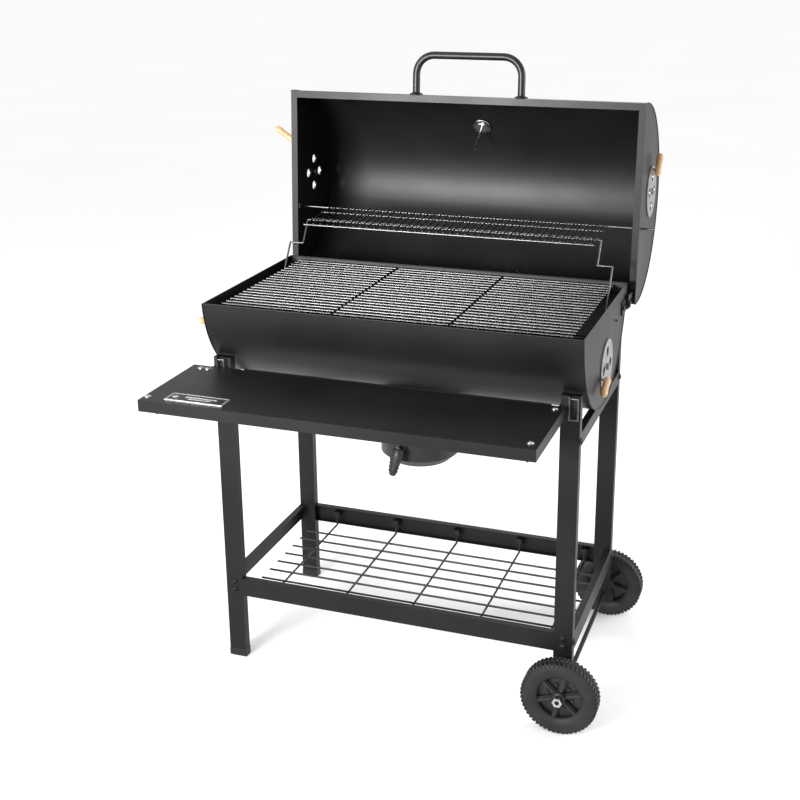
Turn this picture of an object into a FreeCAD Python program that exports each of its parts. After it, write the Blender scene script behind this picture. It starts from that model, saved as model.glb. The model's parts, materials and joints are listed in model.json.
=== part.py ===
"""Barrel charcoal grill cart: hinged half-barrel lid, folding front shelf, two wheels.

Millimetres.  +X is the right end (the wheel end), +Y the back, +Z up.  The origin is on the
ground, midway between the four legs.  The lid stands open at rest.
"""
import FreeCAD
import Part
import math
import os
import re

doc = FreeCAD.newDocument("BarrelGrill")
sheet = doc.addObject("Spreadsheet::Sheet", "dims")
sheet.Label = "dims"

DIMENSIONS = {
    # cart frame
    "legWidth": 40, "legDepth": 20, "cartLength": 800, "cartDepth": 426, "tubeWall": 1.5,
    "frontLegTop": 726, "backLegTop": 770, "footHeight": 18, "axleLegBottom": 60,
    "railTop": 200, "railHeight": 42, "flangeWidth": 15, "sideRailTop": 644, "sideRailHeight": 28,
    # barrel
    "barrelX": 2, "barrelY": -21.5, "barrelZ": 868, "barrelRadius": 222, "barrelLength": 812,
    "rimZ": 852, "skin": 1.5,
    # lid
    "lidOverhang": 14, "lidFlange": 15, "lidGap": 1.2, "openAngle": 93.5,
    "pivotY": 190, "pivotZ": 806, "pinRadius": 5,
    "handleWidth": 250, "handleReach": 89, "handleTube": 8.5, "handleBend": 30,
    # wheels
    "wheelRadius": 82, "wheelWidth": 38, "wheelX": 387, "wheelY": 256, "axleRadius": 5,
    # grates
    "grateZ": 845, "grateRod": 2.1, "gratePitch": 19.4, "grateWidth": 248, "grateGap": 6,
    "crossRod": 2.5, "coalGrateZ": 742,
    # warming rack and its swinging frame
    "rackRodY": 287, "rackRodZ": 955, "rackDepth": 106, "rackDrop": 8, "rackRise": 149,
    "rackReach": 97, "rackWire": 2.4, "rackLength": 684, "frameWire": 2.1, "frameX": 382,
    # front shelf
    "shelfLeft": -441, "shelfRight": 373, "shelfFront": -457, "shelfBack": -226, "shelfTop": 708,
    "shelfSkirt": 24, "shelfPivotY": -233, "shelfPivotZ": 692,
    # air vents
    "ventRadius": 59, "ventHole": 11, "ventPitch": 33, "bodyVentY": -7.5, "bodyVentZ": 724,
    "lidVentY": -38, "lidVentRise": 115,
    # ash can
    "canRadius": 88, "canBottom": 476, "canTop": 632, "collarRadius": 78,
    # bottom shelf
    "meshZ": 162, "meshPitch": 42.5, "meshRod": 2.4, "meshCrossPitch": 159,
}
for row, (alias, value) in enumerate(DIMENSIONS.items(), start=1):
    sheet.set(f"A{row}", alias)
    sheet.set(f"B{row}", str(value))
    sheet.setAlias(f"B{row}", alias)
doc.recompute()

TURN = {
    "X": FreeCAD.Rotation(FreeCAD.Vector(0, 1, 0), 90),
    "Y": FreeCAD.Rotation(FreeCAD.Vector(1, 0, 0), -90),
    "Z": FreeCAD.Rotation(),
}
finished = {}


def val(alias):
    """A driving dimension as a number."""
    return float(sheet.get(alias))


def bind(obj, prop, expression):
    """Bind a property to an expression written with the sheet's aliases."""
    text = re.sub(r"[A-Za-z]\w*", lambda m: ("dims." if m.group() in DIMENSIONS else "") + m.group(),
                  str(expression))
    obj.setExpression(prop, text)


def place(obj, x, y, z):
    for axis, expression in zip("xyz", (x, y, z)):
        bind(obj, f"Placement.Base.{axis}", expression)
    return obj


def box(x, y, z):
    """A box from (low, high) pairs of expressions."""
    obj = doc.addObject("Part::Box", "block")
    for prop, (low, high) in zip(("Length", "Width", "Height"), (x, y, z)):
        bind(obj, prop, f"({high}) - ({low})")
    return place(obj, x[0], y[0], z[0])


def rod(axis, radius, ends, centre):
    """A cylinder along X, Y or Z between two ends; centre holds the other two coordinates."""
    obj = doc.addObject("Part::Cylinder", "rod")
    bind(obj, "Radius", radius)
    bind(obj, "Height", f"({ends[1]}) - ({ends[0]})")
    obj.Placement = FreeCAD.Placement(FreeCAD.Vector(), TURN[axis])
    where = list(centre)
    where.insert("XYZ".index(axis), ends[0])
    return place(obj, *where)


def slant(radius, start, end):
    """A round rod between two points given as numbers."""
    a, b = FreeCAD.Vector(*start), FreeCAD.Vector(*end)
    obj = doc.addObject("Part::Cylinder", "rod")
    bind(obj, "Radius", radius)
    obj.Height = (b - a).Length
    obj.Placement = FreeCAD.Placement(a, FreeCAD.Rotation(FreeCAD.Vector(0, 0, 1), b - a))
    return obj


def ball(radius, centre):
    obj = doc.addObject("Part::Sphere", "ball")
    bind(obj, "Radius", radius)
    obj.Placement.Base = FreeCAD.Vector(*centre)
    return obj


def cone(axis, radii, ends, centre):
    obj = doc.addObject("Part::Cone", "cone")
    bind(obj, "Radius1", radii[0])
    bind(obj, "Radius2", radii[1])
    bind(obj, "Height", f"({ends[1]}) - ({ends[0]})")
    obj.Placement = FreeCAD.Placement(FreeCAD.Vector(), TURN[axis])
    where = list(centre)
    where.insert("XYZ".index(axis), ends[0])
    return place(obj, *where)


def nut(axis, across, ends, centre):
    """A hexagon prism."""
    obj = doc.addObject("Part::Prism", "nut")
    obj.Polygon = 6
    bind(obj, "Circumradius", f"({across}) / 1.732")
    bind(obj, "Height", f"({ends[1]}) - ({ends[0]})")
    obj.Placement = FreeCAD.Placement(FreeCAD.Vector(), TURN[axis])
    where = list(centre)
    where.insert("XYZ".index(axis), ends[0])
    return place(obj, *where)


def fuse(*shapes):
    if len(shapes) == 1:
        return shapes[0]
    obj = doc.addObject("Part::MultiFuse", "joined")
    obj.Shapes = list(shapes)
    return obj


def cut(base, *tools):
    obj = doc.addObject("Part::Cut", "trimmed")
    obj.Base = base
    obj.Tool = fuse(*tools)
    return obj


def group(*shapes):
    """Separate identical pieces that share one node."""
    obj = doc.addObject("Part::Compound", "set")
    obj.Links = list(shapes)
    return obj


def common(*shapes):
    obj = doc.addObject("Part::MultiCommon", "shared")
    obj.Shapes = list(shapes)
    return obj


def part(label, obj):
    """Name a finished sub-part."""
    obj.Label = label
    finished[label] = obj
    return obj


def wire_path(radius, points):
    """A bent round wire through points: straight runs joined by balls."""
    runs = [slant(radius, a, b) for a, b in zip(points, points[1:])]
    return fuse(*runs, *[ball(radius, p) for p in points[1:-1]])


def open_lid(obj):
    """Swing a finished closed-lid piece to the open rest position."""
    pivot = FreeCAD.Vector(0, val("pivotY"), val("pivotZ"))
    swing = FreeCAD.Rotation(FreeCAD.Vector(1, 0, 0), -val("openAngle"))
    obj.Placement = FreeCAD.Placement(FreeCAD.Vector(), swing, pivot).multiply(obj.Placement)
    return obj


# ---------------------------------------------------------------- cart frame
def tube_leg(x, y, z):
    outer = box(x, y, z)
    inner = box([f"{x[0]} + tubeWall", f"{x[1]} - tubeWall"], [f"{y[0]} + tubeWall", f"{y[1]} - tubeWall"],
                [f"{z[0]} - 1", f"{z[1]} - tubeWall"])
    return cut(outer, inner)


LEFT, RIGHT = ("-cartLength / 2", "-cartLength / 2 + legWidth"), ("cartLength / 2 - legWidth",
                                                                  "cartLength / 2")
FRONT, BACK = ("-cartDepth / 2", "-cartDepth / 2 + legDepth"), ("cartDepth / 2 - legDepth", "cartDepth / 2")


def legs():
    for side, x in (("left", LEFT), ("right", RIGHT)):
        for end, y, top in (("front", FRONT, "frontLegTop"), ("back", BACK, "backLegTop")):
            bottom = "3" if side == "left" else "axleLegBottom"
            leg = tube_leg(x, y, (bottom, top))
            if side == "right":
                leg = cut(leg, rod("Y", "axleRadius + 0.05", (f"{y[0]} - 1", f"{y[1]} + 1"),
                                   ("wheelX", "wheelRadius")))
            part(f"leg_{end}_{side}", leg)
    caps = []
    for y in (FRONT, BACK):
        cap = box((f"{LEFT[0]} - 0.7", f"{LEFT[1]} + 0.7"), (f"{y[0]} - 0.7", f"{y[1]} + 0.7"),
                  (0, "footHeight"))
        socket = box((LEFT[0], LEFT[1]), (y[0], y[1]), (3, "footHeight + 1"))
        caps.append(cut(cap, socket))
    part("foot_caps", group(*caps))


def rails():
    for end, wall, lip in (
        ("front", (FRONT[0], f"{FRONT[0]} + tubeWall"), (FRONT[0], f"{FRONT[0]} + flangeWidth")),
        ("back", (f"{BACK[1]} - tubeWall", BACK[1]), (f"{BACK[1]} - flangeWidth", BACK[1])),
    ):
        x = (LEFT[1], RIGHT[0])
        web = box(x, wall, ("railTop - railHeight", "railTop"))
        top = box(x, lip, ("railTop - tubeWall", "railTop"))
        foot = box(x, lip, ("railTop - railHeight", "railTop - railHeight + tubeWall"))
        part(f"rail_lower_{end}", fuse(web, top, foot))
    y = (FRONT[1], BACK[0])
    for side, wall, lip in (
        ("left", (LEFT[0], f"{LEFT[0]} + tubeWall"), (LEFT[0], f"{LEFT[0]} + flangeWidth")),
        ("right", (f"{RIGHT[1]} - tubeWall", RIGHT[1]), (f"{RIGHT[1]} - flangeWidth", RIGHT[1])),
    ):
        for level, top, height in (("lower", "railTop", "railHeight"),
                                   ("upper", "sideRailTop", "sideRailHeight")):
            web = box(wall, y, (f"{top} - {height}", top))
            ledge = box(lip, y, (f"{top} - tubeWall", top))
            part(f"rail_{level}_{side}", fuse(web, ledge))


def bottom_shelf():
    ends = ("-354", "385")
    rods = [rod("X", "meshRod", ends, (f"{i} * meshPitch", "meshZ")) for i in range(-3, 4)]
    hook = val("cartDepth") / 2 - val("flangeWidth") - 4
    top = val("railTop") - 12
    web = val("cartDepth") / 2 - val("tubeWall")
    low = val("meshZ") - 2 * val("meshRod") + 0.6
    for i in range(-2, 3):
        x = 19 + i * val("meshCrossPitch")
        rods.append(wire_path("meshRod", [(x, -hook, top), (x, -hook, low), (x, hook, low),
                                          (x, hook, top)]))
        for ends in ((-web, -hook + 4), (hook - 4, web)):
            rods.append(box((f"{x - 7}", f"{x + 7}"), tuple(map(str, ends)), (f"{top - 6}", f"{top + 5}")))
    part("bottom_shelf_grid", fuse(*rods))


# ---------------------------------------------------------------- barrel
BODY_X = ("barrelX - barrelLength / 2", "barrelX + barrelLength / 2")
LID_X = ("barrelX - barrelLength / 2 - lidOverhang", "barrelX + barrelLength / 2 + lidOverhang")


def vent_holes(x, y, z, radius="ventHole"):
    """Four air holes in a diamond and the middle bolt's hole, through an end plate."""
    holes = [rod("X", radius, x, (f"{y} + {a} * ventPitch", f"{z} + {b} * ventPitch"))
             for a, b in ((1, 0), (-1, 0), (0, 1), (0, -1))]
    return holes + [rod("X", "4.05", x, (y, z))]


def barrel():
    drum = rod("X", "barrelRadius", BODY_X, ("barrelY", "barrelZ"))
    hollow = rod("X", "barrelRadius - skin", BODY_X, ("barrelY", "barrelZ"))
    above = box((f"{BODY_X[0]} - 1", f"{BODY_X[1]} + 1"),
                ("barrelY - barrelRadius - 1", "barrelY + barrelRadius + 1"),
                ("rimZ", "barrelZ + barrelRadius + 1"))
    outlet = rod("Z", "60", ("barrelZ - barrelRadius - 5", "barrelZ - barrelRadius + 60"),
                 ("barrelX", "barrelY"))
    inside = (f"{BODY_X[0]} + skin", f"{BODY_X[1]} - skin")
    shell = common(cut(drum, hollow, above, outlet),
                   box(inside, ("barrelY - 300", "barrelY + 300"), ("500", "1000")))
    part("barrel_shell", shell)
    for side, x in (("left", (BODY_X[0], f"{BODY_X[0]} + skin")),
                    ("right", (f"{BODY_X[1]} - skin", BODY_X[1]))):
        plate = rod("X", "barrelRadius", x, ("barrelY", "barrelZ"))
        cover = box((f"{x[0]} - 1", f"{x[1]} + 1"), ("barrelY - 300", "barrelY + 300"),
                    ("rimZ", "barrelZ + 300"))
        wide = (f"{x[0]} - 2", f"{x[1]} + 2")
        pivot = rod("X", "frameWire + 0.4", wide,
                    ("rackRodY - rackReach - rackDepth", "rackRodZ - rackDrop - rackRise"))
        part(f"barrel_end_{side}", cut(plate, cover, pivot, *vent_holes(wide, "bodyVentY", "bodyVentZ")))
    inner = (f"{BODY_X[0]} + 2 * skin", f"{BODY_X[1]} - 2 * skin")
    ledges = [box(inner, (f"barrelY + {low}", f"barrelY + {high}"), ("grateZ - 8.8", "grateZ - 6.8"))
              for low, high in ((-216.4, -196), (196, 216.4))]
    part("grate_ledges", group(*ledges))


def coal_grate():
    x = (f"{BODY_X[0]} + 14", f"{BODY_X[1]} - 14")
    rods = [rod("X", "3", x, (f"barrelY + {i} * 22", "coalGrateZ")) for i in range(-7, 8)]
    for i in (-1.5, -0.5, 0.5, 1.5):
        rods.append(rod("Y", "3.5", ("barrelY - 168", "barrelY + 168"),
                        (f"barrelX + {i} * 220", "coalGrateZ - 6")))
    part("charcoal_grate", fuse(*rods))


def ash_can():
    middle = ("barrelX", "barrelY")
    collar = cut(rod("Z", "collarRadius", ("canTop - 24", "barrelZ - barrelRadius - 0.2"), middle),
                 rod("Z", "collarRadius - 2", ("canTop - 25", "barrelZ - barrelRadius + 30"), middle))
    part("ash_collar", collar)
    wall = fuse(rod("Z", "canRadius", ("canBottom + 18", "canTop"), middle),
                cone("Z", ("canRadius - 20", "canRadius"), ("canBottom", "canBottom + 18"), middle))
    hollow = fuse(rod("Z", "canRadius - 2", ("canBottom + 18", "canTop + 1"), middle),
                  cone("Z", ("canRadius - 21", "canRadius - 2"), ("canBottom + 2", "canBottom + 18"),
                       middle))
    bead = cut(rod("Z", "canRadius + 3", ("canTop - 5", "canTop"), middle),
               rod("Z", "canRadius - 1", ("canTop - 6", "canTop + 1"), middle))
    part("ash_can", fuse(cut(wall, hollow), bead))
    y = val("barrelY") - val("canRadius")
    grip_x, grip_z = val("barrelX") - 14, 528
    stalk = slant("4", (grip_x, y - 0.1, grip_z), (grip_x, y - 20, grip_z))
    grip = slant("11", (grip_x, y - 20, grip_z + 6), (grip_x - 7, y - 30, grip_z - 58))
    part("ash_can_handle", fuse(stalk, grip))


# ---------------------------------------------------------------- lid
def lid():
    base = "rimZ + lidGap"
    drum = rod("X", "barrelRadius", LID_X, ("barrelY", "barrelZ"))
    hollow = rod("X", "barrelRadius - skin", LID_X, ("barrelY", "barrelZ"))
    below = box((f"{LID_X[0]} - 1", f"{LID_X[1]} + 1"), ("barrelY - 300", "barrelY + 300"), ("400", base))
    inside = (f"{LID_X[0]} + skin", f"{LID_X[1]} - skin")
    arch = common(cut(drum, hollow, below), box(inside, ("barrelY - 300", "barrelY + 300"),
                                                ("500", "1200")))
    half = "(barrelRadius ^ 2 - (barrelZ - rimZ - lidGap) ^ 2) ^ 0.5"
    lips = [box(inside, (f"barrelY - {half} + 0.4", f"barrelY - {half} + lidFlange"),
                (base, f"{base} + skin")),
            box(inside, (f"barrelY + {half} - lidFlange", f"barrelY + {half} - 0.4"),
                (base, f"{base} + skin"))]
    stem_hole = on_lid_front(rod("Z", "3.2", ("0", "12"), ("0", "0")), val("barrelRadius") - 6)
    part("lid_shell", open_lid(cut(fuse(arch, *lips), stem_hole)))
    for side, x, lip in (
        ("left", (LID_X[0], f"{LID_X[0]} + skin"), (LID_X[0], f"{LID_X[0]} + lidFlange")),
        ("right", (f"{LID_X[1]} - skin", LID_X[1]), (f"{LID_X[1]} - lidFlange", LID_X[1])),
    ):
        wide = (f"{x[0]} - 2", f"{x[1]} + 2")
        plate = rod("X", "barrelRadius", x, ("barrelY", "barrelZ"))
        cover = box(wide, ("barrelY - 300", "barrelY + 300"), ("400", base))
        rack_y, rack_z = closed_rack()
        rack = rod("X", "rackWire + 1.6", wide, (str(rack_y), str(rack_z)))
        vent = vent_holes(wide, "lidVentY", "barrelZ + lidVentRise")
        edge = box(lip, (f"barrelY - {half} + lidFlange + 0.2", "pivotY - 24"),
                   (base, f"{base} + skin"))
        part(f"lid_end_{side}", open_lid(fuse(cut(plate, cover, rack, *vent), edge)))


def closed_rack():
    """The rack's rear rod, carried to its place in the closed lid."""
    turn = math.radians(val("openAngle"))
    dy, dz = val("rackRodY") - val("pivotY"), val("rackRodZ") - val("pivotZ")
    return (val("pivotY") + dy * math.cos(turn) - dz * math.sin(turn),
            val("pivotZ") + dy * math.sin(turn) + dz * math.cos(turn))


def lid_fittings():
    half, reach, bend = val("handleWidth") / 2, val("handleReach"), val("handleBend")
    x = val("barrelX") + 8
    front = val("barrelY") - val("barrelRadius") - 0.1
    z = 885
    points = [(x - half, front, z), (x - half, front - reach + bend, z)]
    for centre, first, last in ((x - half + bend, 180, 270), (x + half - bend, 270, 360)):
        for step in range(1, 7):
            angle = math.radians(first + (last - first) * step / 6)
            points.append((centre + bend * math.cos(angle), front - reach + bend + bend * math.sin(angle),
                           z))
    points.append((x + half, front, z))
    tube = wire_path("handleTube", points)
    flanges = [rod("Y", "16", (f"{front} - 3", f"{front}"),
                   (f"{x + side * half}", f"{z}")) for side in (-1, 1)]
    part("lid_handle", open_lid(fuse(tube, *flanges)))
    thermometer()


THERMOMETER_TILT = 40.5


def on_lid_front(obj, height):
    """Stand a piece square on the lid's upper front, its base this far from the barrel's axis."""
    for axis in "xyz":
        obj.setExpression(f"Placement.Base.{axis}", None)
    axis_point = FreeCAD.Vector(val("barrelX"), val("barrelY"), val("barrelZ"))
    tilt = FreeCAD.Rotation(FreeCAD.Vector(1, 0, 0), THERMOMETER_TILT)
    out = FreeCAD.Placement(FreeCAD.Vector(0, 0, height), FreeCAD.Rotation())
    obj.Placement = FreeCAD.Placement(axis_point, tilt).multiply(out)
    return obj


def thermometer():
    skin = val("barrelRadius")
    centre = ("0", "0")
    case = cut(rod("Z", "29", ("0", "20"), centre), rod("Z", "26.2", ("13.8", "21"), centre))
    stem = rod("Z", "3", ("-70", "8.2"), centre)
    pieces = (("thermometer_housing", case, 0.2),
              ("thermometer_dial", rod("Z", "25.5", ("0", "0.8"), centre), 14.2),
              ("thermometer_lens", rod("Z", "26", ("0", "1.6"), centre), 18.4),
              ("thermometer_nut", fuse(nut("Z", "24", ("0", "7.4"), centre), stem), -9.2),
              ("thermometer_needle", fuse(rod("Z", "2.5", ("0", "1.2"), centre),
                                          box(("-0.8", "0.8"), ("-4", "20"), ("0", "1"))), 16.2))
    for name, piece, height in pieces:
        part(name, open_lid(on_lid_front(piece, skin + height)))


def hinges():
    """A bracket on each barrel end carries the pin; a strap bolted to the lid end turns on it."""
    for side, sign in (("left", -1), ("right", 1)):
        wall = val("barrelX") + sign * val("barrelLength") / 2
        spans = {name: tuple(str(v) for v in sorted((wall + sign * a, wall + sign * b)))
                 for name, a, b in (("bracket", 0.2, 3.2), ("gap", 3.2, 11), ("strap", 5, 8),
                                    ("spacer", 8, 12.3))}
        y, z = "pivotY", "pivotZ"
        plate = fuse(rod("X", "15", spans["bracket"], (y, z)),
                     box(spans["bracket"], ("pivotY - 46", "pivotY"), ("pivotZ - 15", "pivotZ + 15")))
        pin = rod("X", "pinRadius", spans["gap"], (y, z))
        head = nut("X", "15", tuple(str(v) for v in sorted((wall + sign * 8.4, wall + sign * 12))), (y, z))
        bolt = nut("X", "12", tuple(str(v) for v in sorted((wall + sign * 3.2, wall + sign * 5.6))),
                   ("pivotY - 34", z))
        part(f"hinge_bracket_{side}", fuse(plate, pin, head, bolt))
        strap = fuse(rod("X", "12", spans["strap"], (y, z)),
                     box(spans["strap"], ("pivotY - 20", "pivotY - 7"), ("pivotZ - 4", "pivotZ + 78")),
                     box(spans["spacer"], ("pivotY - 19", "pivotY - 8"), ("pivotZ + 56", "pivotZ + 78")))
        hole = rod("X", "pinRadius + 0.06", tuple(str(v) for v in sorted((wall, wall + sign * 18))), (y, z))
        part(f"hinge_strap_{side}", open_lid(cut(strap, hole)))


# ---------------------------------------------------------------- vents
def damper(name, x_face, sign, y, z, grip_angle, lift_angle, rise, near, far, is_lid):
    """A round damper on an end plate: four holes, a stem and tab, and a wooden grip.

    grip_angle turns the grip in the plate's plane, from +Z towards -Y; lift_angle bends it outwards.
    The stem stands rise off the plate; the grip runs from near to far beyond the stem's top.
    """
    def span(a, b):
        return tuple(str(v) for v in sorted((x_face + sign * a, x_face + sign * b)))
    a, lift = math.radians(grip_angle), math.radians(lift_angle)
    along = FreeCAD.Vector(sign * math.sin(lift), -math.cos(lift) * math.sin(a),
                           math.cos(lift) * math.cos(a))
    foot_y, foot_z = y - 50 * math.sin(a), z + 50 * math.cos(a)
    start = FreeCAD.Vector(x_face + sign * rise, foot_y, foot_z)
    disc = cut(rod("X", "ventRadius", span(0.5, 2.5), (str(y), str(z))),
               *vent_holes(span(0, 4), str(y), str(z), "ventHole - 0.5"))
    bolt = fuse(rod("X", "4", span(-8, 6), (str(y), str(z))),
                nut("X", "13", span(2.4, 7), (str(y), str(z))),
                nut("X", "13", span(-8, -3), (str(y), str(z))))

    def tab():
        return fuse(rod("X", "3", span(1, rise), (str(foot_y), str(foot_z))), ball("3", start),
                    slant("3", tuple(start), tuple(start + along * (max(near, 4) + 8))))
    grip = slant("8.5", tuple(start + along * near), tuple(start + along * far))
    pieces = {f"{name}_disc": fuse(disc, tab(), bolt), f"{name}_grip": cut(grip, tab())}
    for label, obj in pieces.items():
        part(label, open_lid(obj) if is_lid else obj)


def dampers():
    body = val("bodyVentY"), val("bodyVentZ")
    over = val("lidVentY"), val("barrelZ") + val("lidVentRise")
    half, middle = val("barrelLength") / 2, val("barrelX")
    lid_half = half + val("lidOverhang")
    damper("vent_body_left", middle - half, -1, *body, 66, 50, 5, 38, 104, False)
    damper("vent_body_right", middle + half, 1, *body, 105, 3, 13, -8, 58, False)
    damper("vent_lid_left", middle - lid_half, -1, *over, 104, 54, 5, 40, 106, True)
    damper("vent_lid_right", middle + lid_half, 1, *over, 92, 6, 14, -14, 38, True)


# ---------------------------------------------------------------- grates and rack
def cooking_grates():
    for index, name in ((-1, "left"), (0, "middle"), (1, "right")):
        centre = f"(barrelX + {index} * (grateWidth + grateGap))"
        ends = (f"{centre} - grateWidth / 2", f"{centre} + grateWidth / 2")
        rods = [rod("X", "grateRod", ends, (f"barrelY + {i - 10.5} * gratePitch",
                                            "grateZ")) for i in range(22)]
        for side in (-1, 0, 1):
            rods.append(rod("Y", "crossRod", ("barrelY - 10.5 * gratePitch - 8",
                                              "barrelY + 10.5 * gratePitch + 8"),
                            (f"{centre} + {side} * (grateWidth / 2 - 16)",
                             "grateZ - grateRod - crossRod + 0.4")))
        part(f"cooking_grate_{name}", fuse(*rods))


def warming_rack():
    """Four long rods, falling a little towards the front, under a row of short cross wires."""
    back, top = val("rackRodY"), val("rackRodZ")
    fall = val("rackDrop") / val("rackDepth")
    depth, middle, half = val("rackDepth"), val("barrelX"), val("rackLength") / 2
    lid_half = val("barrelLength") / 2 + val("lidOverhang")
    rods = [rod("X", "rackWire", (f"{middle - lid_half - 8}", f"{middle + lid_half + 26}"),
                ("rackRodY", "rackRodZ"))]
    for offset in (40, depth - 9, depth + 40):
        rods.append(rod("X", "rackWire", (f"{middle - half}", f"{middle + half}"),
                        (f"{back - offset}", f"{top - offset * fall}")))
    count = 40
    lift = val("rackWire") + 1.5
    for i in range(count + 1):
        x = middle - half + 8 + i * (2 * half - 16) / count
        rods.append(slant("1.6", (x, back, top + lift),
                          (x, back - depth - 42, top + lift - (depth + 42) * fall)))
    part("warming_rack", fuse(*rods))


def rack_frame():
    """The wire that carries the rack's front: pivots low in the barrel ends, swings with the lid."""
    front_y, front_z = val("rackRodY") - val("rackDepth"), val("rackRodZ") - val("rackDrop")
    base_y, base_z = front_y - val("rackReach"), front_z - val("rackRise")
    outer, middle = val("frameX"), val("barrelX")
    inset = outer - 33
    wall = val("barrelLength") / 2 + 5
    jog = 0.67
    jog_y, jog_z = base_y + val("rackReach") * jog, base_z + val("rackRise") * jog
    points = [(middle - wall, base_y, base_z), (middle - outer, base_y, base_z),
              (middle - outer, jog_y, jog_z),
              (middle - inset, jog_y, jog_z), (middle - inset, front_y, front_z)]
    mirrored = [(2 * middle - x, y, z) for x, y, z in reversed(points)]
    part("rack_frame", wire_path("frameWire", points + mirrored))


# ---------------------------------------------------------------- front shelf
def shelf():
    x, y = ("shelfLeft", "shelfRight"), ("shelfFront", "shelfBack")
    outer = box(x, y, ("shelfTop - shelfSkirt", "shelfTop"))
    inner = box(("shelfLeft + skin", "shelfRight - skin"), ("shelfFront + skin", "shelfBack + 1"),
                ("shelfTop - shelfSkirt - 1", "shelfTop - skin"))
    tray = cut(outer, inner)
    part("shelf_top", tray)
    for name, px in (("left", ("-408", "-405")), ("right", ("352", "355"))):
        edge = "shelfTop - skin - 0.1"
        bar = box(px, ("shelfFront + 12", "shelfPivotY"), ("shelfPivotZ - 15", edge))
        eye = rod("X", "12", px, ("shelfPivotY", "shelfPivotZ"))
        flange = box((px[0], f"{px[0]} + 20") if name == "left" else (f"{px[1]} - 20", px[1]),
                     ("shelfFront + 12", "shelfPivotY - 12"), (f"{edge} - 2", edge))
        hole = rod("X", "4.06", (f"{px[0]} - 1", f"{px[1]} + 1"), ("shelfPivotY", "shelfPivotZ"))
        part(f"shelf_arm_{name}", cut(fuse(bar, eye, flange), hole))
    for name, plate, pin, head in (("left", ("-403", "-400"), ("-412", "-400"), ("-413", "-408.6")),
                                   ("right", ("357", "360"), ("347", "360"), ("347", "351.4"))):
        ear = fuse(rod("X", "12", plate, ("shelfPivotY", "shelfPivotZ")),
                   box(plate, ("shelfPivotY", "-cartDepth / 2 + legDepth"),
                       ("shelfPivotZ - 12", "shelfPivotZ + 12")))
        shaft = rod("X", "4", pin, ("shelfPivotY", "shelfPivotZ"))
        part(f"shelf_bracket_{name}", fuse(ear, shaft,
                                           nut("X", "13", head, ("shelfPivotY", "shelfPivotZ"))))
    bolts = []
    for bx, by in ((-432, -433), (-415, -244), (-398, -244), (355, -428), (356, -244)):
        bolts.append(rod("Z", "6", ("shelfTop", "shelfTop + 3"), (str(bx), str(by))))
    part("shelf_bolts", group(*bolts))
    part("shelf_badge_plate", box(("-392", "-264"), ("shelfFront + 18", "shelfFront + 58"),
                                  ("shelfTop", "shelfTop + 1.2")))
    for name, x0 in (("left", -390), ("right", 379)):
        y = -val("cartDepth") / 2 - 7
        low, high = 679, 723
        points = [(x0, y + 6.9, high + 2), (x0, y, high + 2), (x0, y, low), (x0 + 17, y, low),
                  (x0 + 17, y, high),
                  (x0 + 4, y, high)]
        part(f"lock_hook_{name}", wire_path("1.9", points))


# ---------------------------------------------------------------- wheels
def wheels():
    nuts = []
    part("axle", rod("Y", "axleRadius", ("-wheelY - 30", "wheelY + 30"), ("wheelX", "wheelRadius")))
    for name, sign in (("front", -1), ("back", 1)):
        middle = sign * val("wheelY")
        half = val("wheelWidth") / 2
        centre = ("wheelX", "wheelRadius")
        tyre = rod("Y", "wheelRadius - 0.2", (f"{middle - half}", f"{middle + half}"), centre)
        pockets = [cut(rod("Y", "52", ends, centre), rod("Y", "16", ends, centre))
                   for ends in ((f"{middle - half - 1}", f"{middle - 5}"),
                                (f"{middle + 5}", f"{middle + half + 1}"))]
        disc = cut(tyre, *pockets)
        spokes = []
        for i in range(3):
            bar = doc.addObject("Part::Box", "spoke")
            bar.Length, bar.Width, bar.Height = 108, 2 * half - 10, 10
            spin = FreeCAD.Placement(FreeCAD.Vector(val("wheelX"), middle, val("wheelRadius")),
                                     FreeCAD.Rotation(FreeCAD.Vector(0, 1, 0), 60 * i + 30))
            bar.Placement = spin.multiply(FreeCAD.Placement(FreeCAD.Vector(-54, -half + 5, -5),
                                                            FreeCAD.Rotation()))
            spokes.append(bar)
        bore = rod("Y", "axleRadius + 0.06", (f"{middle - half - 2}", f"{middle + half + 2}"), centre)
        part(f"wheel_{name}", cut(fuse(disc, *spokes), bore))
        ends = sorted((middle + sign * (half + 1), middle + sign * (half + 11)))
        ring = cut(nut("Y", "19", tuple(str(v) for v in ends), centre),
                   rod("Y", "axleRadius", (f"{ends[0] - 1}", f"{ends[1] + 1}"), centre))
        nuts.append(ring)
    part("axle_nuts", group(*nuts))


for build in (legs, rails, bottom_shelf, barrel, coal_grate, ash_can, lid, lid_fittings, hinges, dampers,
              cooking_grates, warming_rack, rack_frame, shelf, wheels):
    build()
doc.recompute()
for obj in doc.Objects:
    if "Invalid" in obj.State or "Error" in obj.State:
        raise RuntimeError(f"{obj.Label} failed: {obj.State}")
os.makedirs("parts", exist_ok=True)
for label, obj in finished.items():
    if obj.Shape.isNull() or not obj.Shape.isValid():
        raise RuntimeError(f"{label} has no valid shape")
    obj.Shape.exportStep(f"parts/{label}.step")
    print(label, len(obj.Shape.Solids), obj.Shape.BoundBox)
print(len(finished), "parts")
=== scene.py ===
"""Looks for the barrel charcoal grill cart: materials, detail pieces, camera, light and floor.

Metres, in the CAD model's frame: +X the wheel end, +Y the back, +Z up, the lid open at rest.
"""
import bmesh
import bpy
import json
import math
import random
from mathutils import Matrix, Vector


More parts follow.
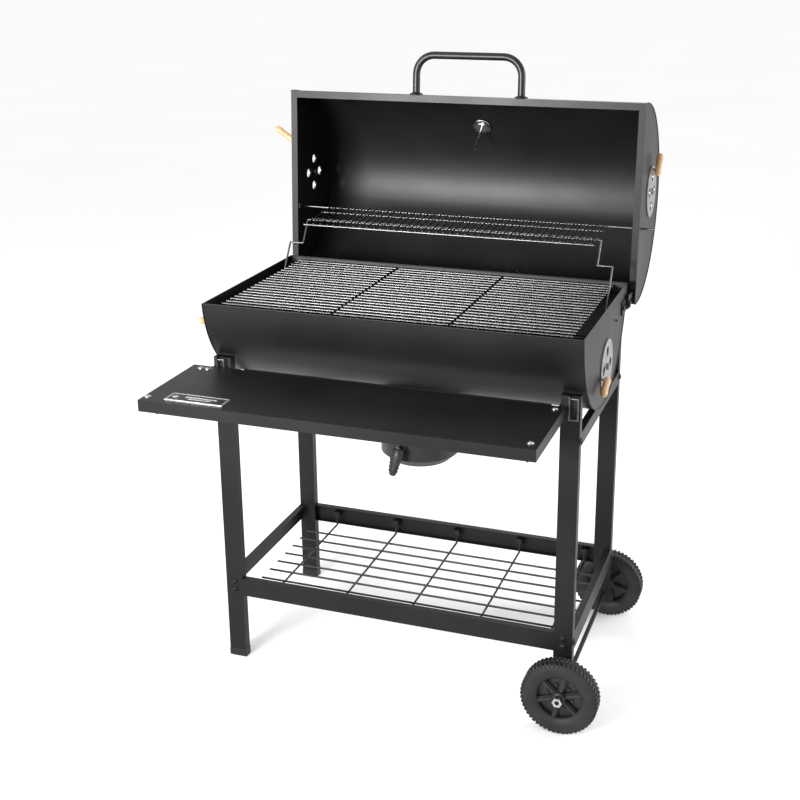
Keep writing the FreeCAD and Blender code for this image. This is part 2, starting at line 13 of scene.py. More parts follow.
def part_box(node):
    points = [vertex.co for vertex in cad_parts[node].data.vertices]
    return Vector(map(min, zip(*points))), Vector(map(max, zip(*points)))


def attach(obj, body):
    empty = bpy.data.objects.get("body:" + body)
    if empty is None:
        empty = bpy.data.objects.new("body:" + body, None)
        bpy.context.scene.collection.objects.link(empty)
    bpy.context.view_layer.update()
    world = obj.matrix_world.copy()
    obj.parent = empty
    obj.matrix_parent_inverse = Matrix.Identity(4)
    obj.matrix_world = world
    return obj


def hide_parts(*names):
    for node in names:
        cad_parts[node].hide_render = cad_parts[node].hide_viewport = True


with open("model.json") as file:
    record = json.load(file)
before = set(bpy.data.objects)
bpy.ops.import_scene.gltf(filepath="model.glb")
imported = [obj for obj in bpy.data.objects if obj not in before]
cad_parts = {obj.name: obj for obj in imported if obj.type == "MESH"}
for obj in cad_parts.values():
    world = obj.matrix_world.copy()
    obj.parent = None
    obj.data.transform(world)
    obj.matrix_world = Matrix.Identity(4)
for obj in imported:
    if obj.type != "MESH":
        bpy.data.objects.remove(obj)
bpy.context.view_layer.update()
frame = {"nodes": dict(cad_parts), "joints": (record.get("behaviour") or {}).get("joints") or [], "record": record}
MM = 0.001
rng = random.Random(7)


# ---------------------------------------------------------------- materials
def new_material(name):
    """An empty node material and its main shader."""
    mat = bpy.data.materials.new(name)
    mat.use_nodes = True
    tree = mat.node_tree
    return mat, tree, tree.nodes["Principled BSDF"]


def coords(tree, scale=(1, 1, 1)):
    """Object coordinates, stretched by scale."""
    source = tree.nodes.new("ShaderNodeTexCoord")
    mapping = tree.nodes.new("ShaderNodeMapping")
    mapping.inputs["Scale"].default_value = scale
    tree.links.new(source.outputs["Object"], mapping.inputs["Vector"])
    return mapping.outputs["Vector"]


def noise(tree, vector, scale, detail):
    """Smooth noise, from 0 to 1."""
    node = tree.nodes.new("ShaderNodeTexNoise")
    node.inputs["Scale"].default_value = scale
    node.inputs["Detail"].default_value = detail
    tree.links.new(vector, node.inputs["Vector"])
    return node.outputs["Fac"]


def spread(tree, value, low, high):
    """Map the range that a noise mostly keeps to, 0.3 to 0.7, onto low to high."""
    node = tree.nodes.new("ShaderNodeMapRange")
    for key, number in (("From Min", 0.3), ("From Max", 0.7), ("To Min", low), ("To Max", high)):
        node.inputs[key].default_value = number
    tree.links.new(value, node.inputs["Value"])
    return node.outputs["Result"]


def two_tone(tree, value, first, second):
    """Blend two colours by a texture value."""
    node = tree.nodes.new("ShaderNodeMix")
    node.data_type = "RGBA"
    node.inputs["A"].default_value = (*first, 1)
    node.inputs["B"].default_value = (*second, 1)
    tree.links.new(value, node.inputs["Factor"])
    return node.outputs["Result"]


def bump(tree, shader, height, strength, distance):
    """A fine relief on the shader, from a texture value."""
    node = tree.nodes.new("ShaderNodeBump")
    node.inputs["Strength"].default_value = strength
    node.inputs["Distance"].default_value = distance
    tree.links.new(height, node.inputs["Height"])
    tree.links.new(node.outputs["Normal"], shader.inputs["Normal"])


def surface(name, tones, rough, metallic=0.0, mottle=9.0, grain=900.0, depth=0.00008, stretch=(1, 1, 1),
            strength=0.35, specular=0.5):
    """A finish with broad colour mottling, uneven gloss and a fine relief.

    tones are its two colours and rough its two roughnesses; mottle and grain are the noises' scales.
    """
    mat, tree, shader = new_material(name)
    where = coords(tree, stretch)
    broad = noise(tree, where, mottle, 4.0)
    fine = noise(tree, where, grain, 2.0)
    colour = two_tone(tree, spread(tree, broad, 0, 1), *tones)
    tree.links.new(colour, shader.inputs["Base Color"])
    tree.links.new(spread(tree, broad, *rough), shader.inputs["Roughness"])
    shader.inputs["Metallic"].default_value = metallic
    shader.inputs["Specular IOR Level"].default_value = specular
    bump(tree, shader, fine, strength, depth)
    return mat


def wood():
    """Pale turned wood: long streaks of grain with darker pores."""
    mat, tree, shader = new_material("pale_wood")
    where = coords(tree)
    waves = tree.nodes.new("ShaderNodeTexWave")
    waves.inputs["Scale"].default_value = 95
    waves.inputs["Distortion"].default_value = 3.5
    waves.inputs["Detail"].default_value = 3
    tree.links.new(where, waves.inputs["Vector"])
    pores = noise(tree, where, 700, 3)
    colour = two_tone(tree, waves.outputs["Fac"], (0.42, 0.24, 0.11), (0.58, 0.36, 0.19))
    darker = tree.nodes.new("ShaderNodeMix")
    darker.data_type = "RGBA"
    darker.blend_type = "MULTIPLY"
    darker.inputs["Factor"].default_value = 0.35
    tree.links.new(colour, darker.inputs["A"])
    tree.links.new(two_tone(tree, spread(tree, pores, 0, 1), (0.62, 0.5, 0.4), (1, 1, 1)), darker.inputs["B"])
    tree.links.new(darker.outputs["Result"], shader.inputs["Base Color"])
    tree.links.new(spread(tree, pores, 0.5, 0.36), shader.inputs["Roughness"])
    shader.inputs["Coat Weight"].default_value = 0.15
    bump(tree, shader, waves.outputs["Fac"], 0.25, 0.0002)
    return mat


def lens():
    """Clear glass with the faintest dust."""
    mat, tree, shader = new_material("clear_lens")
    dust = noise(tree, coords(tree), 260, 4)
    tree.links.new(spread(tree, dust, 0.02, 0.12), shader.inputs["Roughness"])
    tree.links.new(two_tone(tree, dust, (0.92, 0.96, 0.96), (1, 1, 1)), shader.inputs["Base Color"])
    shader.inputs["Transmission Weight"].default_value = 1.0
    shader.inputs["IOR"].default_value = 1.45
    return mat


PAINT = surface("satin_black_paint", ((0.0045, 0.0045, 0.0048), (0.008, 0.008, 0.0084)), (0.40, 0.48),
                mottle=5, grain=1500, depth=0.00006, specular=0.20)
TUBE_PAINT = surface("gloss_black_tube", ((0.004, 0.004, 0.0043), (0.007, 0.007, 0.0074)), (0.34, 0.42),
                     mottle=9, grain=1500, depth=0.00003, specular=0.28)
DARK_WIRE = surface("black_coated_wire", ((0.006, 0.006, 0.0065), (0.011, 0.011, 0.0115)), (0.3, 0.4),
                    mottle=30, grain=1800, specular=0.3)
CHROME = surface("plated_wire", ((0.085, 0.085, 0.086), (0.13, 0.13, 0.132)), (0.28, 0.40),
                 metallic=1.0, mottle=45, grain=1200, depth=0.00003)
BRIGHT = surface("plated_fastener", ((0.40, 0.40, 0.405), (0.52, 0.52, 0.525)), (0.2, 0.32),
                 metallic=1.0, mottle=120, grain=2400, depth=0.00004)
STEEL = surface("brushed_damper_steel", ((0.22, 0.22, 0.225), (0.29, 0.29, 0.295)), (0.34, 0.46),
                metallic=1.0, mottle=14, grain=500, depth=0.00006, stretch=(1, 1, 9))
BADGE = surface("badge_metal", ((0.40, 0.40, 0.41), (0.52, 0.52, 0.53)), (0.3, 0.4),
                metallic=0.8, mottle=22, grain=600, depth=0.00005, stretch=(1, 9, 1))
PLASTIC = surface("wheel_plastic", ((0.009, 0.009, 0.0095), (0.017, 0.017, 0.0175)), (0.5, 0.64),
                  mottle=18, grain=1100, depth=0.00015, strength=0.5, specular=0.3)
HUB_PLASTIC = surface("hub_plastic", ((0.011, 0.011, 0.0115), (0.018, 0.018, 0.0185)), (0.4, 0.52),
                      mottle=24, grain=1300, depth=0.0001, specular=0.35)
CAP_PLASTIC = surface("black_cap_plastic", ((0.005, 0.005, 0.005), (0.010, 0.010, 0.010)), (0.4, 0.55),
                      mottle=35, grain=1400, specular=0.35)
DIAL = surface("dial_enamel", ((0.82, 0.82, 0.79), (0.9, 0.9, 0.87)), (0.3, 0.4), mottle=60, depth=0.00003)
INK = surface("dial_ink", ((0.02, 0.02, 0.02), (0.035, 0.035, 0.035)), (0.4, 0.5), mottle=90)
NEEDLE = surface("needle_red", ((0.5, 0.03, 0.02), (0.62, 0.05, 0.03)), (0.3, 0.4), mottle=90)
ASH = surface("ash_can_enamel", ((0.008, 0.008, 0.0085), (0.014, 0.014, 0.0145)), (0.3, 0.42),
              mottle=12, specular=0.35)
WOOD = wood()
LENS = lens()
SLOT_FINISH = {"black_paint": PAINT, "chrome_wire": CHROME, "dark_wire": DARK_WIRE, "steel": STEEL,
               "bright_bolt": BRIGHT, "wood_grip": WOOD, "wheel_plastic": PLASTIC, "cap_plastic": CAP_PLASTIC,
               "dial": DIAL, "needle": NEEDLE, "lens": LENS, "badge": BADGE}


def shade(obj, finish, sharp):
    """Give an object its finish, and smooth shading except where faces turn by a sharp angle in degrees."""
    obj.data.materials.clear()
    obj.data.materials.append(finish)
    for face in obj.data.polygons:
        face.use_smooth = True
    obj.data.set_sharp_from_angle(angle=math.radians(sharp))


def bevel(obj, width, sharpest=50):
    """Round the edges that turn by more than an angle in degrees, so that they catch the light."""
    mod = obj.modifiers.new("soft_edge", "BEVEL")
    mod.width = width
    mod.segments = 2
    mod.limit_method = "ANGLE"
    mod.angle_limit = math.radians(sharpest)


for entry in frame["record"]["subparts"]:
    enamelled = entry["node"] in ("ash_can", "ash_collar")
    shade(frame["nodes"][entry["node"]], ASH if enamelled else SLOT_FINISH[entry["material_slot"]], 32)

# the folded and cut steel, by the start of the node's name, with its edge's width in millimetres
STEEL_EDGES = {"leg_": 1.2, "foot_caps": 0.6, "shelf_arm": 0.6, "shelf_bracket": 0.6, "shelf_top": 0.6,
               "hinge_": 0.4, "rail_": 0.4, "shelf_badge": 0.4}
for node in frame["nodes"]:
    for start, width in STEEL_EDGES.items():
        if node.startswith(start):
            bevel(frame["nodes"][node], width * MM)


# ---------------------------------------------------------------- mesh helpers
def finish_piece(obj, body, finish, sharp=35):
    """Finish, shading and the body that the piece rides."""
    shade(obj, finish, sharp)
    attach(obj, body)
    return obj


def mesh_object(name, bm):
    """Close an edited mesh into a linked object."""
    bmesh.ops.recalc_face_normals(bm, faces=bm.faces)
    mesh = bpy.data.meshes.new(name)
    bm.to_mesh(mesh)
    bm.free()
    obj = bpy.data.objects.new(name, mesh)
    bpy.context.collection.objects.link(obj)
    return obj


def turned(bm, outline, matrix, steps=48, closed=False):
    """Spin an outline of (radius, height) points round the matrix's Z axis."""
    rings = []
    for step in range(steps):
        angle = 2 * math.pi * step / steps
        ring = [Vector((r * math.cos(angle), r * math.sin(angle), z)) for r, z in outline]
        rings.append([bm.verts.new(matrix @ point) for point in ring])
    count = len(outline)
    for step in range(steps):
        here, there = rings[step], rings[(step + 1) % steps]
        for i in range(count if closed else count - 1):
            j = (i + 1) % count
            bm.faces.new((here[i], there[i], there[j], here[j]))
    if not closed:
        for i in (0, count - 1):
            bm.faces.new([ring[i] for ring in rings])


def mirrored(outline):
    """A ring of (radius, height) points: the outline, then its mirror image about height 0."""
    return outline + [(r, -z) for r, z in reversed(outline)]


def along(point, direction, spin=0.0):
    """A frame whose Z axis runs along direction from point."""
    turn = Vector(direction).to_track_quat("Z", "Y").to_matrix().to_4x4()
    return Matrix.Translation(point) @ turn @ Matrix.Rotation(spin, 4, "Z")


def slab(bm, matrix, size, taper=1.0):
    """A block centred on the matrix's XY origin, standing on it; the top may be smaller."""
    corners = []
    for z, k in ((0, 1), (size[2], taper)):
        for x, y in ((-1, -1), (1, -1), (1, 1), (-1, 1)):
            corners.append(bm.verts.new(matrix @ Vector((x * k * size[0] / 2, y * k * size[1] / 2, z))))
    for face in ((3, 2, 1, 0), (4, 5, 6, 7), (0, 1, 5, 4), (1, 2, 6, 5), (2, 3, 7, 6), (3, 0, 4, 7)):
        bm.faces.new([corners[i] for i in face])


def tube(name, points, radius, body, finish, closed=False, bend=0.0):
    """A round wire or tube with rounded corners along a path, as a mesh."""
    path = [Vector(p) for p in points]
    if bend:
        path = rounded(path, bend)
    curve = bpy.data.curves.new(name, "CURVE")
    curve.dimensions = "3D"
    curve.bevel_depth = radius
    curve.bevel_resolution = 5
    curve.use_fill_caps = True
    spline = curve.splines.new("POLY")
    spline.points.add(len(path) - 1)
    for point, where in zip(spline.points, path):
        point.co = (*where, 1)
    spline.use_cyclic_u = closed
    loose = bpy.data.objects.new(name + "_path", curve)
    bpy.context.collection.objects.link(loose)
    bpy.context.view_layer.update()
    mesh = bpy.data.meshes.new_from_object(loose.evaluated_get(bpy.context.evaluated_depsgraph_get()))
    bpy.data.objects.remove(loose)
    obj = bpy.data.objects.new(name, mesh)
    bpy.context.collection.objects.link(obj)
    return finish_piece(obj, body, finish, 60)


def rounded(path, radius, steps=8):
    """Replace each inner corner of a path by an arc."""
    smooth = [path[0]]
    for before, corner, after in zip(path, path[1:], path[2:]):
        first, second = (before - corner).normalized(), (after - corner).normalized()
        half = first.angle(second) / 2
        reach = min(radius / math.tan(half), (before - corner).length * 0.48, (after - corner).length * 0.48)
        r = reach * math.tan(half)
        centre = corner + (first + second).normalized() * (r / math.sin(half))
        start = (corner + first * reach - centre).normalized()
        end = (corner + second * reach - centre).normalized()
        for i in range(steps + 1):
            smooth.append(centre + start.slerp(end, i / steps) * r)
    smooth.append(path[-1])
    return smooth


def joint(name):
    """A joint's entry in the frame."""
    return next(j for j in frame["joints"] if j["name"] == name)


# ---------------------------------------------------------------- places read from the frame
lid_pivot = Vector(joint("lid_hinge")["pos_m"])
open_angle = math.radians(joint("lid_hinge")["range_deg"][1])
# takes a point given with the lid closed to its place with the lid open, as at rest
lid_opening = Matrix.Translation(lid_pivot) @ Matrix.Rotation(-open_angle, 4, "X") @ Matrix.Translation(-lid_pivot)
shell_low, shell_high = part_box("barrel_shell")
rim = shell_high.z
barrel_y = (shell_low.y + shell_high.y) / 2
half_chord = (shell_high.y - shell_low.y) / 2
barrel_depth = rim - shell_low.z
barrel_radius = (half_chord ** 2 + barrel_depth ** 2) / (2 * barrel_depth)
barrel_z = shell_low.z + barrel_radius
end_left, end_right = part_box("barrel_end_left")[0].x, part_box("barrel_end_right")[1].x
lid_left, lid_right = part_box("lid_end_left")[0].x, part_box("lid_end_right")[1].x
mid_x = (end_left + end_right) / 2


# ---------------------------------------------------------------- bolts
def bolt(bm, point, direction, head=6.5 * MM, rise=3.2 * MM):
    """A domed bolt head with a round recess, on a thin washer."""
    washer = 1.0 * MM
    outline = [(head * 1.35, 0), (head * 1.35, 0.8 * MM), (head * 1.3, washer), (head, washer)]
    outline += [(head * math.cos(a), washer + rise * math.sin(a)) for a in (0.25, 0.55, 0.85, 1.15)]
    outline += [(head * 0.34, washer + rise), (head * 0.3, rise * 0.5)]
    turned(bm, outline, along(point, direction, rng.uniform(0, 3)), 28)


def bolt_set(name, places, body, finish, slot, **size):
    """One piece with a bolt head at each (point, direction)."""
    bm = bmesh.new()
    for point, direction in places:
        bolt(bm, Vector(point), direction, **size)
    return finish_piece(mesh_object(name, bm), body, finish)


# ---------------------------------------------------------------- wheels
def wheel(name, side):
    """A moulded wheel: lugged tread, plain sidewall, deep pockets between six ribbed spokes, hub.

    The body and its CAD node share the name, and side is the sign of Y on the outer face.
    """
    low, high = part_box(name)
    centre = (low + high) / 2
    r, half = (high.z - low.z) / 2, (high.y - low.y) / 2
    axis = along(centre, (0, side, 0))
    wall = r * 0.965
    bore = 5.1 * MM

    bm = bmesh.new()
    turned(bm, mirrored([(r * 0.57, -half * 0.1), (r * 0.575, -half * 0.60), (r * 0.60, -half * 0.72),
                         (r * 0.66, -half * 0.90), (r * 0.78, -half), (r * 0.88, -half * 0.98),
                         (wall, -half * 0.78), (wall + 0.6 * MM, -half * 0.4)]), axis, 96, closed=True)
    lugs = 52
    for i in range(lugs):
        for row in (-1, 1):
            turn = Matrix.Rotation(2 * math.pi * (i + 0.25 * row) / lugs, 4, "Z")
            tread = Matrix.Translation((wall - 0.3 * MM, 0, row * half * 0.46)) @ \
                Matrix.Rotation(math.pi / 2, 4, "Y") @ Matrix.Rotation(row * 0.25, 4, "Z")
            slab(bm, axis @ turn @ tread, (half * 0.84, r * 0.075, r - wall + 0.2 * MM), 0.84)
            shoulder = Matrix.Translation((r * 0.93, 0, row * half * 0.84))
            slab(bm, axis @ turn @ shoulder, (r * 0.075, r * 0.05, row * half * 0.10), 0.8)
    tyre = finish_piece(mesh_object(f"{name}_tyre", bm), name, PLASTIC, 30)

    bm = bmesh.new()
    turned(bm, mirrored([(bore, -half * 0.95), (r * 0.13, -half * 0.95), (r * 0.17, -half * 0.8),
                         (r * 0.20, -half * 0.1)]), axis, 48, closed=True)
    turned(bm, mirrored([(r * 0.18, -half * 0.05), (r * 0.585, -half * 0.05)]), axis, 72, closed=True)
    for i in range(6):
        arm = Matrix.Rotation(math.pi / 3 * i + 0.3, 4, "Z")
        for width, tall in ((0.15, 0.42), (0.085, 0.60)):
            slab(bm, axis @ arm @ Matrix.Translation((r * 0.37, 0, -half * tall)),
                 (r * 0.43, r * width, 2 * half * tall))
        pin = arm @ Matrix.Rotation(math.pi / 6, 4, "Z") @ Matrix.Translation((r * 0.33, 0, half * 0.04))
        turned(bm, [(3.6 * MM, 0), (3.6 * MM, half * 0.2), (2.8 * MM, half * 0.26)], axis @ pin, 16)
    hub = finish_piece(mesh_object(f"{name}_hub", bm), name, HUB_PLASTIC, 30)

    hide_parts(name)
    for piece, width in ((tyre, 0.4 * MM), (hub, 0.6 * MM)):
        bevel(piece, width, 40)


wheel("wheel_front", -1)
wheel("wheel_back", 1)


# ---------------------------------------------------------------- wooden grips
GRIP_RADIUS = 8.5 * MM


def grip_line(node, disc_joint):
    """The two ends of a slanting grip's axis, from its box and the side of the vent it stands on."""
    low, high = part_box(node)
    hub = Vector(joint(disc_joint)["pos_m"])
    near = Vector([a if abs(a - h) < abs(b - h) else b for a, b, h in zip(low, high, hub)])
    far = low + high - near
    inset = Vector((0, 0, 0))
    for _ in range(7):
        tilt = ((far - inset) - (near + inset)).normalized()
        inset = Vector([GRIP_RADIUS * math.sqrt(max(0, 1 - c * c)) * (1 if d > 0 else -1)
                        for c, d in zip(tilt, far - near)])
    return near + inset, far - inset


def turned_grip(vent):
    """A round wooden grip with swelling ends, in place of the vent's plain one."""
    start, end = grip_line(f"{vent}_grip", f"{vent}_turn")
    length = (end - start).length
    neck = GRIP_RADIUS * 0.45
    outline = [(neck, 0)]
    steps = 16
    for i in range(steps + 1):
        t = i / steps
        shape = (1 - (2 * t - 1) ** 8) ** 0.5
        swell = 0.92 + 0.08 * math.cos(2 * math.pi * t)
        outline.append((max(GRIP_RADIUS * shape * swell, neck), length * (0.015 + 0.97 * t)))
    outline.append((GRIP_RADIUS * 0.2, length))
    bm = bmesh.new()
    turned(bm, outline, along(start, end - start), 32)
    piece = finish_piece(mesh_object(f"{vent}_grip_turned", bm), vent, WOOD, 50)
    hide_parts(f"{vent}_grip")


for vent in ("vent_body_left", "vent_body_right", "vent_lid_left", "vent_lid_right"):
    turned_grip(vent)


# ---------------------------------------------------------------- lid handle
def lid_handle():
    """One bent tube, with a turned collar at each foot."""
    tube_radius, bend, reach = 8.5 * MM, 47 * MM, 89 * MM
    foot_height = 885 * MM  # with the lid closed
    foot_plate = 16 * MM  # from the tube's centre to the side of the CAD handle's box
    low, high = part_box("lid_handle")
    half = (high.x - low.x) / 2 - foot_plate
    foot = lid_opening @ Vector(((low.x + high.x) / 2, barrel_y - barrel_radius - 0.1 * MM, foot_height))
    out = lid_opening.to_3x3() @ Vector((0, -1, 0))
    ends = [foot + Vector((s * half, 0, 0)) for s in (-1, 1)]
    path = [ends[0], ends[0] + out * reach, ends[1] + out * reach, ends[1]]
    piece = tube("lid_handle_tube", path, tube_radius, "lid", TUBE_PAINT, bend=bend)
    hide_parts("lid_handle")
    bm = bmesh.new()
    for end in ends:
        turned(bm, [(15.5 * MM, 0), (15.5 * MM, 1.5 * MM), (14.5 * MM, 2.4 * MM), (11 * MM, 3.0 * MM),
                    (9.4 * MM, 4.6 * MM), (8.2 * MM, 6 * MM)], along(end - out * 0.4 * MM, out), 40)
    finish_piece(mesh_object("lid_handle_feet", bm), "lid", PAINT)


lid_handle()


# ---------------------------------------------------------------- seams and hems
def arc_points(x, start, end, r, steps=64):
    """Points on the barrel's end circle between two angles, the lid closed."""
    angles = (start + (end - start) * i / steps for i in range(steps + 1))
    return [Vector((x, barrel_y + r * math.cos(a), barrel_z + r * math.sin(a))) for a in angles]


def seams():
    """Beads where both shells meet their end plates, and hems along the barrel's long rims."""
    drop = math.asin((barrel_z - rim) / barrel_radius)
    bead = barrel_radius - 0.2 * MM
    short = 0.008  # radians by which the lid's beads stop before its rim
    for name, x in (("left", end_left), ("right", end_right)):
        points = arc_points(x, math.pi + drop, 2 * math.pi - drop, bead)
        tube(f"barrel_seam_{name}", points, 1.5 * MM, "cart", PAINT)
    for name, x in (("left", lid_left), ("right", lid_right)):
        points = [lid_opening @ p for p in arc_points(x, short - drop, math.pi + drop - short, bead)]
        tube(f"lid_seam_{name}", points, 1.6 * MM, "lid", PAINT)
    for name, y, inward in (("front", shell_low.y, 1), ("back", shell_high.y, -1)):
        points = [(x, y + inward * 0.9 * MM, rim - 0.8 * MM) for x in (end_left + 1 * MM, end_right - 1 * MM)]
        tube(f"barrel_hem_{name}", points, 1.5 * MM, "cart", PAINT)


seams()


# ---------------------------------------------------------------- thermometer
def thermometer():
    """The dial's marks, the bezel round it and the washer inside the lid."""
    low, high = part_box("thermometer_dial")
    centre = (low + high) / 2
    normal = Vector(joint("needle_turn")["axis"]).normalized()
    across = Vector((1, 0, 0))
    up = normal.cross(across).normalized()
    mark_radius, mark_lift, to_inside = 21.5 * MM, 0.42 * MM, 19.5 * MM

    bm = bmesh.new()
    for i in range(31):
        angle = math.radians(-30 + 8 * i)
        out = across * math.cos(angle) + up * math.sin(angle)
        turn = Matrix((out, normal.cross(out), normal)).transposed().to_4x4()
        long, wide = (5, 0.9) if i % 5 == 0 else (3, 0.5)
        slab(bm, Matrix.Translation(centre + out * mark_radius + normal * mark_lift) @ turn,
             (long * MM, wide * MM, 0.12 * MM))
    finish_piece(mesh_object("thermometer_ticks", bm), "lid", INK)

    bm = bmesh.new()
    turned(bm, [(26.0 * MM, 5.3 * MM), (29.2 * MM, 5.3 * MM), (30.2 * MM, 4.4 * MM), (30.6 * MM, 0),
                (30.2 * MM, -11 * MM), (29.1 * MM, -12.5 * MM), (29.0 * MM, 4.0 * MM), (26.0 * MM, 4.6 * MM)],
           along(centre, normal), 64, closed=True)
    finish_piece(mesh_object("thermometer_bezel", bm), "lid", BRIGHT)

    bm = bmesh.new()
    turned(bm, [(4 * MM, 0), (22 * MM, 0), (22.4 * MM, 0.5 * MM), (21.5 * MM, 1.6 * MM), (12 * MM, 3.2 * MM),
                (4 * MM, 3.4 * MM)], along(centre - normal * to_inside, -normal), 56, closed=True)
    finish_piece(mesh_object("thermometer_washer", bm), "lid", BRIGHT)


thermometer()


# ---------------------------------------------------------------- prongs on the cooking grates
def prongs():
    """A pair of short lifting prongs under the front rods of each outer grate."""
    below, ahead, back, half_gap, wire = 6.2 * MM, 2.5 * MM, 40 * MM, 15 * MM, 1.9 * MM
    for side, share in (("left", 0.60), ("right", 0.28)):
        node = f"cooking_grate_{side}"
        low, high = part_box(node)
        z = high.z - below
        for i, shift in enumerate((-half_gap, half_gap)):
            x = low.x + (high.x - low.x) * share + shift
            tube(f"grate_prong_{side}_{i}", [(x, low.y - ahead, z), (x, low.y + back, z)], wire,
                 node, CHROME)


prongs()


# ---------------------------------------------------------------- front cross strip
def front_strip():
    """A flat strip between the front legs, behind the shelf's back edge, with a turned-in foot."""
    height, sheet, foot_depth, foot_sheet = 62 * MM, 2 * MM, 16 * MM, 1.6 * MM
    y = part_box("leg_front_left")[1].y - 2.4 * MM
    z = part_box("shelf_top")[1].z - 9 * MM - height
    width = 2 * (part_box("leg_front_right")[0].x - 22 * MM)
    bm = bmesh.new()
    slab(bm, Matrix.Translation((0, y, z)), (width, sheet, height))
    slab(bm, Matrix.Translation((0, y + foot_depth / 2, z)), (width, foot_depth, foot_sheet))
    finish_piece(mesh_object("front_cross_strip", bm), "cart", PAINT)


front_strip()


# ---------------------------------------------------------------- badge and bolt heads
def badge():
    """A blank rating plate: raised border, dark panel, a disc and two plain bars."""
    low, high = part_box("shelf_badge_plate")
    c, top = (low + high) / 2, high.z
    margin, edge, corner, outset = 8 * MM, 2.4 * MM, 6 * MM, 1.6 * MM
    wide, deep = high.x - low.x - margin, high.y - low.y - margin

    bm = bmesh.new()
    for sx, sy in ((0, 1), (0, -1), (1, 0), (-1, 0)):
        place = (c.x + sx * (wide / 2 + outset), c.y + sy * (deep / 2 + outset), top - 0.1 * MM)
        slab(bm, Matrix.Translation(place),
             (wide + corner if sy else edge, edge if sy else deep + corner, 0.7 * MM), 0.99)
    finish_piece(mesh_object("badge_border", bm), "shelf", BADGE)

    bm = bmesh.new()
    slab(bm, Matrix.Translation((c.x, c.y, top - 0.05 * MM)), (wide, deep, 0.25 * MM), 0.995)
    finish_piece(mesh_object("badge_panel", bm), "shelf", CAP_PLASTIC)

    panel_top = top + 0.15 * MM
    bm = bmesh.new()
    for share, shift, tall in ((0.58, 4.5 * MM, 5 * MM), (0.42, -4.5 * MM, 3 * MM)):
        slab(bm, Matrix.Translation((c.x + 7 * MM, c.y + shift, panel_top)), (wide * share, tall, 0.3 * MM), 0.98)
    turned(bm, [(6.5 * MM, 0), (6.5 * MM, 0.3 * MM), (5.9 * MM, 0.4 * MM)],
           along(Vector((c.x - wide / 2 + 11 * MM, c.y, panel_top)), (0, 0, 1)), 36)
    finish_piece(mesh_object("badge_marks", bm), "shelf", BADGE)


badge()


def shelf_bolts():
    """Plated bolt heads in the shelf's top, three at its left end and two at its right."""
    low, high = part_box("shelf_bolts")
    front, back = low.y + 6 * MM, high.y - 6 * MM
    left, right = (corner.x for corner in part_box("shelf_top"))
    spots = [(left + 9 * MM, front), (left + 26 * MM, back), (left + 43 * MM, back),
             (right - 18 * MM, front + 5 * MM), (right - 17 * MM, back)]
    places = [((x, y, low.z), (0, 0, 1)) for x, y in spots]
    piece = bolt_set("shelf_bolt_heads", places, "shelf", BRIGHT, "bright_bolt", head=5.6 * MM, rise=2.6 * MM)
    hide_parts("shelf_bolts")


shelf_bolts()


def frame_bolts():
    """Bolt heads where the lower and the upper rails meet the legs."""
    places = []
    for leg in ("leg_front_left", "leg_front_right", "leg_back_left", "leg_back_right"):
        low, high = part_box(leg)
        x_mid, y_mid = (low.x + high.x) / 2, (low.y + high.y) / 2
        y, out = (low.y, -1) if "front" in leg else (high.y, 1)
        x, side = (high.x, 1) if "right" in leg else (low.x, -1)
        places += [((x_mid, y, z * MM), (0, out, 0)) for z in (170, 189)]
        places += [((x, y_mid, z * MM), (side, 0, 0)) for z in (630, 180)]
    bolt_set("frame_bolt_heads", places, "cart", PAINT, "black_paint")


frame_bolts()


# ---------------------------------------------------------------- ash can's grip
def ash_grip():
    """A moulded grip, wide at the top and narrow below, with rows of nubs, on a short black stalk."""
    low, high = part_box("ash_can_handle")
    wall = Vector((high.x - 11 * MM, high.y, high.z - 9 * MM))
    start = wall + Vector((0, -20, 4)) * MM
    end = Vector((low.x + 9 * MM, low.y + 5 * MM, low.z + 5 * MM))
    length = (end - start).length
    flattened = along(start, end - start) @ Matrix.Diagonal((1, 0.72, 1, 1))
    # radius in millimetres at shares of the grip's length
    shape = [(5, 0), (12, 0.02), (15.5, 0.12), (15, 0.3), (13, 0.5), (11.5, 0.7), (10, 0.88), (7.5, 0.97), (3, 1)]
    rows, nubs = 6, 10

    bm = bmesh.new()
    turned(bm, [(r * MM, t * length) for r, t in shape], flattened, 36)
    for row in range(rows):
        t = 0.16 + 0.13 * row
        r = (15.6 - 6.2 * t) * MM
        for i in range(nubs):
            a = 2 * math.pi * (i + 0.5 * (row % 2)) / nubs
            foot = flattened @ Vector((r * math.cos(a), r * math.sin(a), t * length))
            spot = along(foot, flattened.to_3x3() @ Vector((math.cos(a), math.sin(a), 0)))
            turned(bm, [(2.6 * MM, -1.2 * MM), (2.4 * MM, 0.5 * MM), (1.5 * MM, 1.3 * MM)], spot, 12)
    piece = finish_piece(mesh_object("ash_can_handle_grip", bm), "ash_can", CAP_PLASTIC, 50)
    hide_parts("ash_can_handle")

    bm = bmesh.new()
    turned(bm, [(4.5 * MM, 0), (4.5 * MM, (wall - start).length + 4 * MM)], along(wall, start - wall), 20)
    turned(bm, [(11 * MM, 0), (11 * MM, 1.6 * MM), (7 * MM, 3 * MM), (4 * MM, 3.2 * MM)],
           along(wall, (0, -1, 0)), 24)
    finish_piece(mesh_object("ash_grip_stalk", bm), "ash_can", CAP_PLASTIC)


ash_grip()


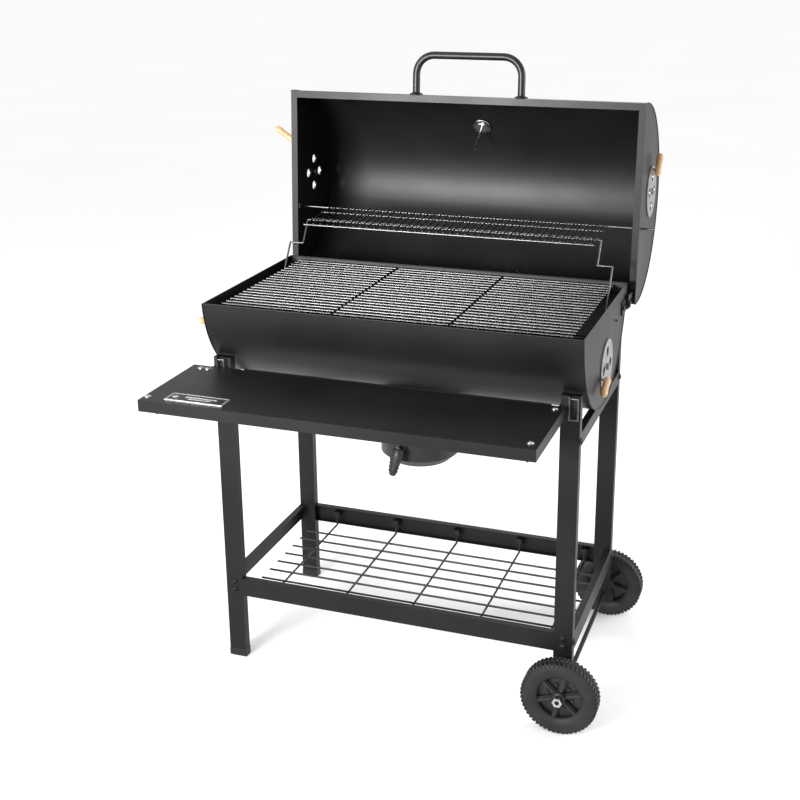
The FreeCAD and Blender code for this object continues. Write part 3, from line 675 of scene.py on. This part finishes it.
# ---------------------------------------------------------------- rack's eyelets
def eyelets():
    """Wire eyes that hold the rack's front on its swinging frame."""
    eye, wire, half_span, steps = 4.6 * MM, 1.4 * MM, 330 * MM, 24
    pin = Vector(joint("rack_level")["pos_m"])
    for i, x in enumerate((mid_x - half_span, mid_x + half_span)):
        angles = (2 * math.pi * k / steps for k in range(steps))
        ring = [(x, pin.y + eye * math.cos(a), pin.z + eye * math.sin(a)) for a in angles]
        tube(f"rack_eye_{i}", ring, wire, "warming_rack", CHROME, closed=True)


eyelets()


# ---------------------------------------------------------------- camera, light and floor
def camera():
    """Right of the front and above, at the distance that gives the photograph's perspective."""
    data = bpy.data.cameras.new("camera")
    data.sensor_width = 36
    data.lens = 57.03
    data.shift_x, data.shift_y = -0.0219, -0.075
    cam = bpy.data.objects.new("camera", data)
    bpy.context.collection.objects.link(cam)
    azimuth, elevation, roll = (math.radians(a) for a in (19.46, 17.71, -0.36))
    level = math.cos(elevation)
    look = Vector((-math.sin(azimuth) * level, math.cos(azimuth) * level, -math.sin(elevation)))
    turn = look.to_track_quat("-Z", "Y").to_matrix().to_4x4() @ Matrix.Rotation(roll, 4, "Z")
    cam.matrix_world = Matrix.Translation((0.8714, -2.4991, 1.5838)) @ turn
    bpy.context.scene.camera = cam


def area_light(name, place, target, size, power, spread_angle=180):
    """A rectangular lamp aimed at a target; the power is in watts and the spread in degrees."""
    data = bpy.data.lights.new(name, "AREA")
    data.shape = "RECTANGLE"
    data.size, data.size_y = size
    data.energy = power
    data.spread = math.radians(spread_angle)
    lamp = bpy.data.objects.new(name, data)
    bpy.context.collection.objects.link(lamp)
    turn = (Vector(target) - Vector(place)).to_track_quat("-Z", "Y").to_matrix().to_4x4()
    lamp.matrix_world = Matrix.Translation(place) @ turn


def studio():
    """A white room with five soft lamps, and a pale floor at z = 0."""
    area_light("front_strip", (-0.95, -2.5, 1.3), (0, 0.3, 1.15), (1.1, 0.45), 36, 75)
    area_light("key_left", (-2.6, -2.4, 2.9), (0, 0, 0.8), (2.0, 2.0), 18)
    area_light("top_soft", (0.2, -0.3, 3.6), (0, 0.1, 0.8), (3.0, 2.6), 12)
    area_light("side_right", (3.2, 1.2, 1.3), (0.3, 0, 0.9), (1.4, 1.8), 26, 90)
    area_light("back_rim", (0.4, 3.2, 2.2), (0, 0, 0.9), (3.0, 1.6), 12)
    world = bpy.data.worlds.new("white_room")
    world.use_nodes = True
    background = world.node_tree.nodes["Background"]
    background.inputs["Color"].default_value = (1, 1, 1, 1)
    background.inputs["Strength"].default_value = 1.02
    bpy.context.scene.world = world
    bpy.context.scene.view_settings.view_transform = "Standard"
    width, thickness = 160, 0.02
    bm = bmesh.new()
    slab(bm, Matrix.Translation((0, 2, -thickness)), (width, width, thickness))
    floor = mesh_object("floor", bm)
    floor.data.materials.append(surface("pale_floor", ((0.93, 0.93, 0.93), (0.95, 0.95, 0.95)), (0.8, 0.9),
                                        mottle=0.8, grain=60, depth=0.0002, strength=0.05, specular=0.1))


camera()
studio()
